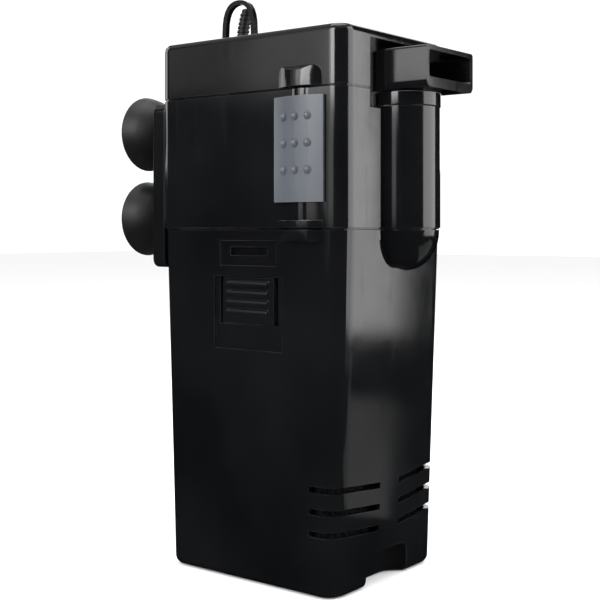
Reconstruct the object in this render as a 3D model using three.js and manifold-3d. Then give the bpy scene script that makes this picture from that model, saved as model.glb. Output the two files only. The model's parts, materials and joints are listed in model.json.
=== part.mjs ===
// Submersible aquarium filter: a tapered media canister, a motor-driven pump head that lifts off it,
// a swivelling rectangular outlet nozzle, two sliding side latches, and a clip-on plate of suction cups.
// Millimetres, +Z up. The origin is the centre of the base. The outlet faces -Y, the suction cups +Y.

import * as THREE from 'three';
import { mergeVertices } from 'three/addons/utils/BufferGeometryUtils.js';
import Module from 'manifold-3d';

const wasm = await Module();
wasm.setup();

// ---------- driving dimensions ----------

const GAP = 0.3;                    // clearance between pieces that touch
const WALL = 2.4;                   // moulded wall of the casings
const HALF_WIDTH = 42.6;            // casing, along X
const HALF_DEPTH = 55.6;            // casing, along Y
const TOP = 250;
const SEAM_LOW = 160.5;             // canister to pump housing
const SEAM_HIGH = 222.6;            // pump housing to top cover
const SHADOW = { height: 0.6, depth: 0.7 };  // groove round the casing at each seam
const CORNER = 8;                   // vertical corner radius of the head
const TOP_ROUND = 3.6;              // rounding of the cover's top edge
const BEYOND = 200;                 // further out than anything reaches
const SIDES = 24;                   // facets of an ordinary cylinder
const FINE_SIDES = 32;              // of a large visible one
const COARSE_SIDES = 12;            // of a small hidden one

const CAN = {
  inset: 0.5,                       // step in from the head at the seam
  corner: 9.5,
  baseRound: 3,
  floor: 2.6,
  taperSide: 0.6,                   // how far each face comes in from the seam to the base
  taperFront: 6,
  taperBack: 5.6,
};

const SCOOP = { bottom: 17, top: 16.2, height: 14.6, round: 6, backY: -40.5, planRound: 10 };

const INTAKE = {
  z: [27.5, 37.2, 46.9],            // on the side face
  height: 2.7,
  innerX: 7.3,                      // where the front part ends
  backY: -36,                       // where the side part ends
  droop: 5.2 * Math.PI / 180,       // of the front part
};
const STANDOFF = { x: [-28, -10, 10, 28], halfWidth: 1, front: -36, back: 40, top: 18 };
const SPONGE = { corner: 6, coarse: [37.6, 45], coarseZ: [18.3, 56], fine: [37.8, 46.5], fineZ: [56.5, 88] };
const BASKET = { halfX: 37, halfY: 48, corner: 6, wall: 1.6, bottom: 88.5, floor: 90.3, top: 141 };
const LID = { halfX: 35, halfY: 46, corner: 4, bottom: 138.6, top: 140.6 };
const GRILLE = { pitch: 8, halfWidth: 1.5, floorX: 28, floorY: 38, lidX: 24, lidY: 34 };
const MEDIA = {
  corner: 4,
  carbon: [34.8, 45.8],
  carbonZ: [90.6, 104],
  rings: [34.6, 45.6],
  ringsZ: [104.4, 138.2],
};
const FOOT = { radius: 14.8, stretch: 1.25, spigot: 13.4, spigotHeight: 2.4 };  // under the discharge tube

const PUMP_Y = 4;                   // rotor axis
const VOLUTE = { inner: 22, outer: 24.6, bottom: 163.8 };
const DUCT = { outer: 9.7, inner: 7.5, bottom: 166, top: 175, backY: -18 };    // volute to tube
const MOTOR_FLOOR = { bottom: 177, top: 179.4 };
const WELL = { inner: 11, outer: 12.8, ceiling: 211.5, top: 213.5 };
const SHAFT = { radius: 1.5, bottom: 163.1, top: 211.1 };
const BORE = SHAFT.radius + GAP;    // of everything that runs on the shaft
const BUSH = { upper: 3.6, upperZ: [207.8, 211.2], lower: 3, lowerZ: [162.8, 166.6] };
const BUSH_SEAT = { outer: 5.5, bore: 3.9, bottom: 207.5 };
const MAGNET = { radius: 9.6, bottom: 181, top: 206.5 };
const IMPELLER = { hub: 6, bottom: 167.4, top: 180.7 };
const BLADE = { span: 36, thick: 1.6, middle: 171.5, height: 8 };
const INLET = { bore: 9.5, bottom: 160.9, armTop: 163.2, hub: 5, hubTop: 166.9, seat: 3.3, seatFloor: 162.5 };
const STATOR = { inner: 13.1, outer: 20.5, front: -8, back: 44.5, yoke: 37, bottom: 183, top: 207 };
const COIL = { halfWidth: 12.5, front: 30, back: 51.5, bottom: 179.7, top: 210.3 };
const LEDGE = { inner: 14, outer: 19, front: 10, back: 30, top: 182.7 };       // under the stator

const TUBE = { y: -60, outer: 15.2, bore: 12.4, floor: 165.5, top: 215.3 };
const COLLAR = { radius: 15.6, bottom: 215.6, top: 221.7 };
const NOZZLE = { halfWidth: 19.7, mouthY: -83, backY: -61.5, bottom: 222, top: 240, wall: 2, floor: 226.3 };
const HUB = { outer: 17, inner: 15 };                      // round end of the nozzle, over the tube
const NOZZLE_ROUND = { outerTop: 1.4, outerBottom: 3, inner: 1.2 };
const SPIGOT = { outer: 11.7, bore: 9.9, bottom: 209 };    // of the nozzle, in the tube
const POCKET = { halfWidth: 22.5, backY: -41.5, floor: 214.5, ceiling: 245.5, wall: 2.2 };

const LATCH = { y: -32.1, width: 27.2, bottom: 172.5, top: 219, travel: 6, edge: 1.4, rise: 2.6 };
const RIDGE = { width: 24, rise: 4, bottom: 154.8, top: 232.3, neck: 164.5, endRound: 3.4, cornerRound: 4.4 };
const CORE = { width: 10, rise: 1.6 };                     // what the latch slides on
const TONGUE = { bottom: 186, top: 206, halfWidth: 2.6, keeperHalf: 4.5 };
const DOTS = { radius: 1.5, pitchY: 6.5, z: [186.5, 198.2, 210] };

const TAB = { y: -1.2, halfWidth: 15.2, sideSlot: 2.3, bottom: 117, top: 139, thick: 1.7 };
const TAB_PANEL = { halfWidth: 20.2, bottom: 105.5, depth: 1, upperHalf: 16.7, upperBottom: 144, top: 155.4 };
const TAB_WINDOW = { halfWidth: 11, bottom: 148.7, top: 152.5 };
const TAB_RIBS = { z: [122.6, 126.9, 131.2, 135.5], length: 24, radius: 1.5 };

const FLANGE = { inset: 4, corner: 3.1, height: 2.2 };
const SKIRT = { inset: 1.8, corner: 5.3, bottom: 150.5 };
const SNAP = { halfLength: 12, inner: 3.6, outer: 0.6, bottom: 143.5, top: 152.5 };
const GASKET = { inset: 0.4, corner: 7, innerInset: 1.5, innerCorner: 5.6, bottom: 153.3, top: 156.3 };

const PILLAR = { x: 32, y: 44.5, radius: 4.6, tunnel: 3.3, seat: 212, hole: 1.8 };
const SCREW = { radius: 1.5, head: 2.9, headHeight: 2.2, top: 232 };

const PLATE = { halfWidth: 38, front: 55.9, back: 63.7, bottom: 142, top: 222, round: 4 };
const RAIL = { x: 10, bottom: 168.5, top: 218, neck: 2, head: 4, neckY: 57.7, headY: 59.6 };
const CUP = { x: 24.7, z: [166, 209], radius: 18.7, neck: 3.8, knob: 5.7 };
const CUP_PROFILE = [               // radius, and distance from the plate's front face
  [0, 0.4], [5.1, 0.4], [CUP.knob, 1.6], [5.1, 3.3], [CUP.neck, 3.4], [CUP.neck, 8.1], [7, 8.8],
  [12.3, 12.2], [16.3, 17.2], [CUP.radius, 24.3], [CUP.radius, 24.7], [17.4, 24.7],
  [15.4, 19.6], [9.8, 15], [0, 13.2],
];

const LOOP = { y: 40, halfWidth: 11.2, height: 26.3, strip: 2.3, halfThick: 1.5, lean: 0.8, sill: 1.2, peg: 1.2 };
const GLAND = { x: 5.6, y: 43, radius: 3.1, lean: -3.4, height: 23, flange: 4.5, flangeTop: 2.2, offset: 1.6 };

// ---------- shapes ----------

// A solid that can be joined and cut, from any closed geometry.
function solid(geometry) {
  const bare = geometry.clone();
  bare.deleteAttribute('normal');
  bare.deleteAttribute('uv');
  const welded = mergeVertices(bare, 1e-4);
  return new wasm.Manifold(new wasm.Mesh({
    numProp: 3,
    vertProperties: welded.attributes.position.array,
    triVerts: new Uint32Array(welded.index.array),
  }));
}

function join(...pieces) {
  return pieces.flat().reduce((whole, piece) => whole.add(piece));
}

function cut(body, ...tools) {
  return tools.flat().reduce((rest, tool) => rest.subtract(tool), body);
}

function box(x0, x1, y0, y1, z0, z1) {
  const geometry = new THREE.BoxGeometry(x1 - x0, y1 - y0, z1 - z0);
  return solid(geometry.translate((x0 + x1) / 2, (y0 + y1) / 2, (z0 + z1) / 2));
}

// A box that is centred on X = 0.
function midBox(halfWidth, y0, y1, z0, z1) {
  return box(-halfWidth, halfWidth, y0, y1, z0, z1);
}

function rod(radius, z0, z1, x = 0, y = 0, sides = SIDES) {
  const geometry = new THREE.CylinderGeometry(radius, radius, z1 - z0, sides);
  return solid(geometry.rotateX(Math.PI / 2).translate(x, y, (z0 + z1) / 2));
}

function ring(outer, inner, z0, z1, x = 0, y = 0, sides = SIDES) {
  return cut(rod(outer, z0, z1, x, y, sides), rod(inner, z0 - 1, z1 + 1, x, y, sides));
}

// Everything between two heights.
function slab(z0, z1) {
  return box(-BEYOND, BEYOND, -BEYOND, BEYOND, z0, z1);
}

function roundedRect(halfX, halfY, radius) {
  const shape = new THREE.Shape();
  const x = halfX - radius;
  const y = halfY - radius;
  shape.absarc(x, y, radius, 0, Math.PI / 2);
  shape.absarc(-x, y, radius, Math.PI / 2, Math.PI);
  shape.absarc(-x, -y, radius, Math.PI, 1.5 * Math.PI);
  shape.absarc(x, -y, radius, 1.5 * Math.PI, 2 * Math.PI);
  shape.closePath();
  return shape;
}

function prism(shape, z0, z1, curveSegments = 3) {
  const geometry = new THREE.ExtrudeGeometry(shape, { depth: z1 - z0, bevelEnabled: false, curveSegments });
  return geometry.translate(0, 0, z0);
}

function block(halfX, halfY, radius, z0, z1, curveSegments = 2) {
  return solid(prism(roundedRect(halfX, halfY, radius), z0, z1, curveSegments));
}

// A block whose top and bottom edges are rounded as well.
function softBlock(halfX, halfY, radius, z0, z1, round) {
  const shape = roundedRect(halfX - round, halfY - round, radius - round);
  const geometry = new THREE.ExtrudeGeometry(shape, {
    depth: z1 - z0 - 2 * round,
    bevelSize: round,
    bevelThickness: round,
    bevelSegments: 3,
    curveSegments: 3,
  });
  return geometry.translate(0, 0, z0 + round);
}

// Stands an outline that is drawn as (x, z) upright, and runs it along Y.
function alongY(shape, y0, y1, curveSegments = 3) {
  const geometry = new THREE.ExtrudeGeometry(shape, { depth: y1 - y0, bevelEnabled: false, curveSegments });
  return geometry.rotateX(Math.PI / 2).translate(0, y1, 0);
}

// A shallow arched outline on the +X side face: a strip of the given thickness under an arc.
function archOutline(width, rise, inner, edge = 0) {
  const base = HALF_WIDTH + edge;
  const radius = (width * width / 4 + rise * rise) / (2 * rise);
  const half = Math.asin(width / 2 / radius);
  const shape = new THREE.Shape();
  shape.moveTo(inner, -width / 2);
  shape.absarc(base + rise - radius, 0, radius, -half, half);
  shape.lineTo(inner, width / 2);
  shape.closePath();
  return shape;
}

// The same piece on the +X side and, turned half round, on the -X side.
function onBothSides(geometry, y) {
  return [0, Math.PI].map((turn) => solid(geometry.clone().rotateZ(turn).translate(0, y, 0)));
}

function sideBoxes(x0, x1, halfY, z0, z1, y) {
  const geometry = new THREE.BoxGeometry(x1 - x0, 2 * halfY, z1 - z0);
  return onBothSides(geometry.translate((x0 + x1) / 2, 0, (z0 + z1) / 2), y);
}

// Draws the canister's faces in towards its base.
function taper(geometry) {
  const place = geometry.attributes.position;
  for (let i = 0; i < place.count; i += 1) {
    const down = (SEAM_LOW - place.getZ(i)) / SEAM_LOW;
    const taperY = place.getY(i) < 0 ? CAN.taperFront : CAN.taperBack;
    place.setX(i, place.getX(i) * (1 - down * CAN.taperSide / HALF_WIDTH));
    place.setY(i, place.getY(i) * (1 - down * taperY / HALF_DEPTH));
  }
  return geometry;
}

// ---------- side ridges ----------

// One arched ridge runs up each side, through all three casings. Its ends are rounded.
function ridges(z0, z1) {
  const arch = prism(archOutline(RIDGE.width, RIDGE.rise, HALF_WIDTH - 2), RIDGE.bottom, RIDGE.top, 4);
  const reach = 10;
  const height = RIDGE.top - RIDGE.bottom;
  const middle = (RIDGE.top + RIDGE.bottom) / 2;
  const profile = alongY(roundedRect(reach, height / 2, RIDGE.endRound), -RIDGE.width, RIDGE.width);
  profile.translate(HALF_WIDTH + RIDGE.rise - reach, 0, middle);
  const face = alongY(roundedRect(RIDGE.width / 2, height / 2, RIDGE.cornerRound), -BEYOND, BEYOND);
  const outline = solid(face.rotateZ(Math.PI / 2).translate(0, LATCH.y, middle));
  const span = slab(z0, z1);
  const archSides = onBothSides(arch, LATCH.y);
  const profileSides = onBothSides(profile, LATCH.y);
  return archSides.map((ridge, i) => ridge.intersect(profileSides[i]).intersect(outline).intersect(span));
}

// ---------- canister and what stands in it ----------

// An arched hollow in the foot of the front face, with round back corners.
function scoop(grow, frontY, backY) {
  const half = SCOOP.bottom + grow;
  const top = SCOOP.top + grow;
  const height = SCOOP.height + grow;
  const shape = new THREE.Shape();
  shape.moveTo(-half, -5);
  shape.lineTo(half, -5);
  shape.lineTo(half, 0);
  shape.lineTo(top, height - SCOOP.round);
  shape.quadraticCurveTo(top, height, top - SCOOP.round, height);
  shape.lineTo(SCOOP.round - top, height);
  shape.quadraticCurveTo(-top, height, -top, height - SCOOP.round);
  shape.lineTo(-half, 0);
  shape.closePath();
  const depth = (backY - frontY) / 2;
  const plan = roundedRect(half, depth, SCOOP.planRound);
  const footprint = solid(prism(plan, -10, height + 10, 4).translate(0, backY - depth, 0));
  return solid(alongY(shape, frontY, backY, 4)).intersect(footprint);
}

// A slot round one front corner. It is level on the side face, and droops towards the middle of the front.
function intakeSlot(side, z) {
  const cornerX = HALF_WIDTH - CAN.inset - CAN.corner;
  const length = cornerX - INTAKE.innerX;
  const depth = HALF_DEPTH + INTAKE.backY;
  const front = new THREE.BoxGeometry(length, 2 * depth, INTAKE.height);
  front.translate(-side * length / 2, INTAKE.backY - depth, 0).rotateY(-side * INTAKE.droop);
  const corner = new THREE.BoxGeometry(2 * CAN.corner + 1, 2 * depth, INTAKE.height);
  corner.translate(side * CAN.corner, INTAKE.backY - depth, 0);
  return join([front, corner].map((part) => solid(part.translate(side * cornerX, 0, z))));
}

function tubeFoot() {
  const rim = SEAM_LOW - GAP / 2;
  const foot = new THREE.SphereGeometry(FOOT.radius, SIDES, 10);
  foot.scale(1, 1, FOOT.stretch).translate(0, TUBE.y, rim);
  const dome = solid(foot).intersect(midBox(BEYOND, -BEYOND, WALL - HALF_DEPTH, 0, rim));
  return join(dome, footSpigot(0));
}

// Half a disc on the foot that stands up into the discharge tube's underside, or with grow its recess.
function footSpigot(grow) {
  const rim = SEAM_LOW - GAP / 2;
  const disc = rod(FOOT.spigot + grow, rim - 1, rim + FOOT.spigotHeight + grow, 0, TUBE.y);
  return disc.intersect(midBox(BEYOND, -BEYOND, grow - HALF_DEPTH - 1, 0, BEYOND));
}

function makeCanister() {
  const rim = SEAM_LOW - GAP / 2;
  const halfX = HALF_WIDTH - CAN.inset;
  const halfY = HALF_DEPTH - CAN.inset;
  const shell = solid(taper(softBlock(halfX, halfY, CAN.corner, 0, rim + 10, CAN.baseRound)));
  const inner = roundedRect(halfX - WALL, halfY - WALL, CAN.corner - WALL);
  const hollow = solid(taper(prism(inner, CAN.floor, rim + 20)));
  const outside = cut(join(shell.intersect(slab(-1, rim)), tubeFoot(), ridges(RIDGE.bottom - 5, rim)),
    scoop(0, -80, SCOOP.backY));
  const inside = cut(hollow, scoop(WALL, -80, SCOOP.backY + WALL));
  const body = cut(outside, inside);
  const slots = INTAKE.z.flatMap((z) => [-1, 1].map((side) => intakeSlot(side, z)));
  const opening = TAB.halfWidth + TAB.sideSlot;
  const panelX = HALF_WIDTH - CAN.inset - TAB_PANEL.depth;
  const panels = sideBoxes(panelX - 0.2, BEYOND, TAB_PANEL.halfWidth, TAB_PANEL.bottom, TAB.top, TAB.y);
  const upper = sideBoxes(panelX, BEYOND, TAB_PANEL.upperHalf, TAB_PANEL.upperBottom, TAB_PANEL.top, TAB.y);
  const windows = sideBoxes(30, BEYOND, TAB_WINDOW.halfWidth, TAB_WINDOW.bottom, TAB_WINDOW.top, TAB.y);
  const openings = sideBoxes(30, BEYOND, opening, TAB.bottom, TAB.top, TAB.y);
  const standoffs = STANDOFF.x.map((x) => box(x - STANDOFF.halfWidth, x + STANDOFF.halfWidth, STANDOFF.front,
    STANDOFF.back, CAN.floor - 1, STANDOFF.top));
  return join(cut(body, slots, panels, upper, windows, openings), standoffs);
}

function makeReleaseTab() {
  const outer = HALF_WIDTH - CAN.inset - 0.5;
  const panel = box(outer - TAB.thick, outer, -TAB.halfWidth, TAB.halfWidth, TAB.bottom + GAP, TAB.top - 0.5);
  const ribs = TAB_RIBS.z.map((z) => {
    const rib = new THREE.CylinderGeometry(TAB_RIBS.radius, TAB_RIBS.radius, TAB_RIBS.length, 12);
    return solid(rib.translate(outer, 0, z));
  });
  return join(panel, ribs);
}

// Slots across a floor, as far as reachX either way, and each as long as reachY either way.
function grille(reachX, reachY, z0, z1) {
  const slots = [];
  for (let x = -reachX; x <= reachX; x += GRILLE.pitch) {
    slots.push(box(x - GRILLE.halfWidth, x + GRILLE.halfWidth, -reachY, reachY, z0 - 1, z1 + 1));
  }
  return slots;
}

function makeBasket() {
  const { halfX, halfY, corner, wall, bottom, floor, top } = BASKET;
  const inside = block(halfX - wall, halfY - wall, corner - wall, floor, top + 1);
  const outside = block(halfX, halfY, corner, bottom, top);
  return cut(outside, inside, grille(GRILLE.floorX, GRILLE.floorY, bottom, floor));
}

function makeBasketLid() {
  return cut(block(LID.halfX, LID.halfY, LID.corner, LID.bottom, LID.top),
    grille(GRILLE.lidX, GRILLE.lidY, LID.bottom, LID.top));
}

// ---------- pump head ----------

// The groove that sets off a seam: everything outside the casing's outline, drawn in by its depth.
function shadowGroove(bottom) {
  const { height, depth } = SHADOW;
  const low = bottom - 1;
  const high = bottom + height;
  const casing = block(HALF_WIDTH - depth, HALF_DEPTH - depth, CORNER - depth, low - 1, high + 1, 3);
  const tube = rod(TUBE.outer - depth, low - 1, high + 1, 0, TUBE.y, FINE_SIDES);
  return cut(slab(low, high), casing, tube);
}

function makePumpHousing() {
  const bottom = SEAM_LOW + GAP / 2;
  const top = SEAM_HIGH - GAP / 2;
  const inX = HALF_WIDTH - WALL;
  const inY = HALF_DEPTH - WALL;
  const canX = HALF_WIDTH - CAN.inset - WALL;
  const canY = HALF_DEPTH - CAN.inset - WALL;
  const shell = cut(block(HALF_WIDTH, HALF_DEPTH, CORNER, bottom, top, 3),
    block(inX, inY, CORNER - WALL, bottom - 1, MOTOR_FLOOR.bottom),
    block(inX, inY, CORNER - WALL, MOTOR_FLOOR.top, top + 1));
  const flange = block(inX + 1, inY + 1, CORNER - WALL, bottom, bottom + FLANGE.height);
  const skirt = block(canX - SKIRT.inset, canY - SKIRT.inset, SKIRT.corner, SKIRT.bottom, bottom + 1);
  const throat = block(canX - FLANGE.inset, canY - FLANGE.inset, FLANGE.corner, SKIRT.bottom - 1,
    bottom + FLANGE.height + 1);
  const seat = cut(join(flange, skirt), throat);
  const snapLegs = sideBoxes(canX - SNAP.inner, canX - SNAP.outer, SNAP.halfLength, SNAP.bottom, SNAP.top,
    TAB.y);
  const pocketWall = midBox(POCKET.halfWidth + POCKET.wall, -HALF_DEPTH + 0.5, POCKET.backY + POCKET.wall,
    POCKET.floor - POCKET.wall, top);
  const pocket = midBox(POCKET.halfWidth, -HALF_DEPTH - 5, POCKET.backY, POCKET.floor, top + 1);
  const volute = rod(VOLUTE.outer, VOLUTE.bottom, MOTOR_FLOOR.bottom + 1, 0, PUMP_Y, FINE_SIDES);
  const duct = midBox(DUCT.outer, -HALF_DEPTH + 1, DUCT.backY, VOLUTE.bottom, MOTOR_FLOOR.bottom + 1);
  const well = rod(WELL.outer, MOTOR_FLOOR.top - 1, WELL.top, 0, PUMP_Y);
  const tube = rod(TUBE.outer, bottom, TUBE.top, 0, TUBE.y, FINE_SIDES);
  const pillars = [];
  const tunnels = [];
  for (const x of [-PILLAR.x, PILLAR.x]) {
    for (const y of [-PILLAR.y, PILLAR.y]) {
      const sideX = [x, Math.sign(x) * (inX + 1)].sort((a, b) => a - b);
      pillars.push(rod(PILLAR.radius, MOTOR_FLOOR.top - 1, top, x, y, COARSE_SIDES));
      pillars.push(box(sideX[0], sideX[1], y - 1, y + 1, MOTOR_FLOOR.top - 1, top - 6));
      tunnels.push(rod(PILLAR.tunnel, MOTOR_FLOOR.bottom - 1, PILLAR.seat, x, y, COARSE_SIDES));
      tunnels.push(rod(PILLAR.hole, PILLAR.seat - 1, top + 1, x, y, COARSE_SIDES));
    }
  }
  const coreLedges = [-1, 1].map((side) => {
    const x = [side * LEDGE.inner, side * LEDGE.outer].sort((a, b) => a - b);
    return box(x[0], x[1], LEDGE.front, LEDGE.back, MOTOR_FLOOR.top - 1, LEDGE.top);
  });
  const core = onBothSides(prism(archOutline(CORE.width, CORE.rise, inX + 0.5), bottom, top), LATCH.y);
  const latchSlots = sideBoxes(inX - 2, BEYOND, TONGUE.halfWidth + 0.4, TONGUE.bottom - LATCH.travel - GAP,
    TONGUE.top + GAP, LATCH.y);
  const rails = [-RAIL.x, RAIL.x].flatMap((x) => railBoxes(x, 0, RAIL.bottom, RAIL.top, HALF_DEPTH - 1));
  const solids = join(cut(join(shell, pocketWall), pocket), seat, snapLegs, volute, duct, well, tube,
    pillars, coreLedges, core, ridges(bottom, RIDGE.neck), rails);
  const bushSeat = ring(BUSH_SEAT.outer, BUSH_SEAT.bore, BUSH_SEAT.bottom, WELL.ceiling + 0.5, 0, PUMP_Y,
    COARSE_SIDES);
  const passages = [
    rod(VOLUTE.inner, VOLUTE.bottom - 1, MOTOR_FLOOR.bottom, 0, PUMP_Y, FINE_SIDES),
    rod(WELL.inner, MOTOR_FLOOR.bottom - 1, WELL.ceiling, 0, PUMP_Y),
    midBox(DUCT.inner, TUBE.y, DUCT.backY + 3, DUCT.bottom, DUCT.top),
    rod(TUBE.bore, TUBE.floor, TUBE.top + 1, 0, TUBE.y, FINE_SIDES),
  ];
  return join(cut(solids, passages, tunnels, latchSlots, footSpigot(GAP), shadowGroove(bottom)), bushSeat);
}

// A T-shaped rail, or with grow the slot that it runs in.
function railBoxes(x, grow, z0, z1, rootY) {
  return [
    box(x - RAIL.neck - grow, x + RAIL.neck + grow, rootY, RAIL.headY, z0, z1),
    box(x - RAIL.head - grow, x + RAIL.head + grow, RAIL.neckY - grow, RAIL.headY + grow, z0, z1),
  ];
}

function makeTopCover() {
  const bottom = SEAM_HIGH + GAP / 2;
  const inX = HALF_WIDTH - WALL;
  const inY = HALF_DEPTH - WALL;
  const outer = solid(softBlock(HALF_WIDTH, HALF_DEPTH, CORNER, bottom - 10, TOP, TOP_ROUND));
  const inner = block(inX, inY, CORNER - WALL, bottom - 1, TOP - WALL);
  const shell = cut(outer.intersect(slab(bottom, TOP + 1)), inner);
  const pocketWall = midBox(POCKET.halfWidth + POCKET.wall, -HALF_DEPTH + 0.5, POCKET.backY + POCKET.wall,
    bottom, TOP - WALL + 0.5);
  const pocket = midBox(POCKET.halfWidth, -HALF_DEPTH - 5, POCKET.backY, bottom - 1, POCKET.ceiling);
  const bosses = [];
  const holes = [];
  for (const x of [-PILLAR.x, PILLAR.x]) {
    for (const y of [-PILLAR.y, PILLAR.y]) {
      bosses.push(rod(PILLAR.radius, bottom, TOP - WALL + 0.5, x, y, COARSE_SIDES));
      holes.push(rod(PILLAR.hole, bottom - 1, SCREW.top + 2, x, y, COARSE_SIDES));
    }
  }
  const pegHoles = pegs(LOOP.peg + GAP, TOP - 5, TOP + 1);
  const glandHole = rod(GLAND.radius + GAP, TOP - 5, TOP + 1, GLAND.x, GLAND.y, 16);
  const body = join(shell, pocketWall, bosses, ridges(bottom, RIDGE.top + 5));
  return cut(body, pocket, holes, pegHoles, glandHole, shadowGroove(bottom));
}

// The two feet of the hanging loop, or the holes they stand in.
function pegs(radius, z0, z1) {
  const reach = LOOP.halfWidth - LOOP.peg;
  return [-reach, reach].map((y) => rod(radius, z0, z1, 0, LOOP.y + y, COARSE_SIDES));
}

function makeLoop() {
  const base = TOP + GAP;
  const outline = new THREE.Shape();
  const half = LOOP.halfWidth;
  const shoulder = LOOP.height - half;
  outline.moveTo(-half, 0);
  outline.lineTo(half, 0);
  outline.lineTo(half - LOOP.lean, shoulder);
  outline.quadraticCurveTo(half - 2, LOOP.height, 0, LOOP.height);
  outline.quadraticCurveTo(2 - half, LOOP.height, LOOP.lean - half, shoulder);
  outline.closePath();
  const inner = half - LOOP.strip;
  const innerTop = LOOP.height - LOOP.strip;
  const window = new THREE.Path();
  window.moveTo(-inner, LOOP.sill);
  window.lineTo(LOOP.lean - inner, shoulder);
  window.quadraticCurveTo(2 - inner, innerTop, 0, innerTop);
  window.quadraticCurveTo(inner - 2, innerTop, inner - LOOP.lean, shoulder);
  window.lineTo(inner, LOOP.sill);
  window.closePath();
  outline.holes.push(window);
  const strip = new THREE.ExtrudeGeometry(outline, {
    depth: 2 * LOOP.halfThick,
    bevelEnabled: false,
    curveSegments: 6,
  });
  strip.translate(0, 0, -LOOP.halfThick).rotateX(Math.PI / 2).rotateZ(Math.PI / 2);
  return join(solid(strip.translate(0, LOOP.y, base)), pegs(LOOP.peg, TOP - 4, base + 0.5));
}

function makeGland() {
  const base = new THREE.Vector3(GLAND.x, GLAND.y, TOP - 4);
  const exit = new THREE.Vector3(GLAND.x, GLAND.y, TOP + 4);
  const lean = new THREE.Vector3(GLAND.x, GLAND.y, TOP + GLAND.height / 2);
  const tip = new THREE.Vector3(GLAND.x, GLAND.y + GLAND.lean, TOP + GLAND.height);
  const section = new THREE.Shape();
  section.absarc(0, 0, GLAND.radius, 0, 2 * Math.PI);
  const sleeve = new THREE.ExtrudeGeometry(section, {
    extrudePath: new THREE.CatmullRomCurve3([base, exit, lean, tip]),
    steps: 6,
    curveSegments: 5,
  });
  const flange = rod(GLAND.flange, TOP + GAP, TOP + GLAND.flangeTop, GLAND.x + GLAND.offset, GLAND.y);
  return join(solid(sleeve), flange);
}

// ---------- motor and pump ----------

function makeStatorCore() {
  const { inner, outer, front, back, yoke, bottom, top } = STATOR;
  const legs = [[-outer, -inner], [inner, outer]].map(([x0, x1]) => box(x0, x1, front, back, bottom, top));
  return join(legs, midBox(inner + 1, yoke, back, bottom, top));
}

// Wound round the yoke of the stator core.
function makeStatorCoil() {
  return cut(midBox(COIL.halfWidth, COIL.front, COIL.back, COIL.bottom, COIL.top),
    midBox(BEYOND, STATOR.yoke - GAP, STATOR.back + GAP, STATOR.bottom - GAP, STATOR.top + GAP));
}

function makeImpeller() {
  const blades = [0, 1, 2].map((i) => {
    const blade = new THREE.BoxGeometry(BLADE.span, BLADE.thick, BLADE.height);
    return solid(blade.rotateZ(i * Math.PI / 3).translate(0, PUMP_Y, BLADE.middle));
  });
  const hub = rod(IMPELLER.hub, IMPELLER.bottom, IMPELLER.top, 0, PUMP_Y, COARSE_SIDES);
  return cut(join(hub, blades), rod(BORE, IMPELLER.bottom - 1, IMPELLER.top + 1, 0, PUMP_Y, COARSE_SIDES));
}

// The volute's lid: the inlet is its middle, where three arms carry the lower bush.
function makeImpellerCover() {
  const disc = ring(VOLUTE.outer, INLET.bore, INLET.bottom, VOLUTE.bottom - GAP, 0, PUMP_Y, FINE_SIDES);
  const arms = [0, 1, 2].map((i) => {
    const arm = new THREE.BoxGeometry(INLET.bore + 1.5, 2, INLET.armTop - INLET.bottom);
    arm.translate((INLET.bore + 1.5) / 2, 0, 0).rotateZ(i * 2 * Math.PI / 3);
    return solid(arm.translate(0, PUMP_Y, (INLET.armTop + INLET.bottom) / 2));
  });
  const hub = rod(INLET.hub, INLET.bottom, INLET.hubTop, 0, PUMP_Y, COARSE_SIDES);
  const seat = rod(INLET.seat, INLET.seatFloor, INLET.hubTop + 1, 0, PUMP_Y, COARSE_SIDES);
  return cut(join(disc, arms, hub), seat);
}

// ---------- outlet ----------

// The duct's outline as (x, z), from its floor to its ceiling.
function ductOutline(half, z0, z1, lowRound, highRound) {
  const shape = new THREE.Shape();
  shape.absarc(half - lowRound, z0 + lowRound, lowRound, 1.5 * Math.PI, 2 * Math.PI);
  shape.absarc(half - highRound, z1 - highRound, highRound, 0, Math.PI / 2);
  shape.absarc(highRound - half, z1 - highRound, highRound, Math.PI / 2, Math.PI);
  shape.absarc(lowRound - half, z0 + lowRound, lowRound, Math.PI, 1.5 * Math.PI);
  shape.closePath();
  return shape;
}

function makeNozzle() {
  const ceiling = NOZZLE.top - NOZZLE.wall;
  const duct = ductOutline(NOZZLE.halfWidth, NOZZLE.bottom, NOZZLE.top, NOZZLE_ROUND.outerBottom,
    NOZZLE_ROUND.outerTop);
  const hollow = ductOutline(NOZZLE.halfWidth - NOZZLE.wall, NOZZLE.floor, ceiling, NOZZLE_ROUND.inner,
    NOZZLE_ROUND.inner);
  return cut(
    join(
      solid(alongY(duct, NOZZLE.mouthY, NOZZLE.backY)),
      rod(HUB.outer, NOZZLE.bottom, NOZZLE.top, 0, TUBE.y, FINE_SIDES),
      rod(SPIGOT.outer, SPIGOT.bottom, NOZZLE.bottom + 1, 0, TUBE.y),
    ),
    solid(alongY(hollow, NOZZLE.mouthY - 1, TUBE.y)),
    rod(HUB.inner, NOZZLE.floor, ceiling, 0, TUBE.y, FINE_SIDES),
    rod(SPIGOT.bore, SPIGOT.bottom - 1, NOZZLE.floor + 1, 0, TUBE.y),
  );
}

// ---------- latches ----------

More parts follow.
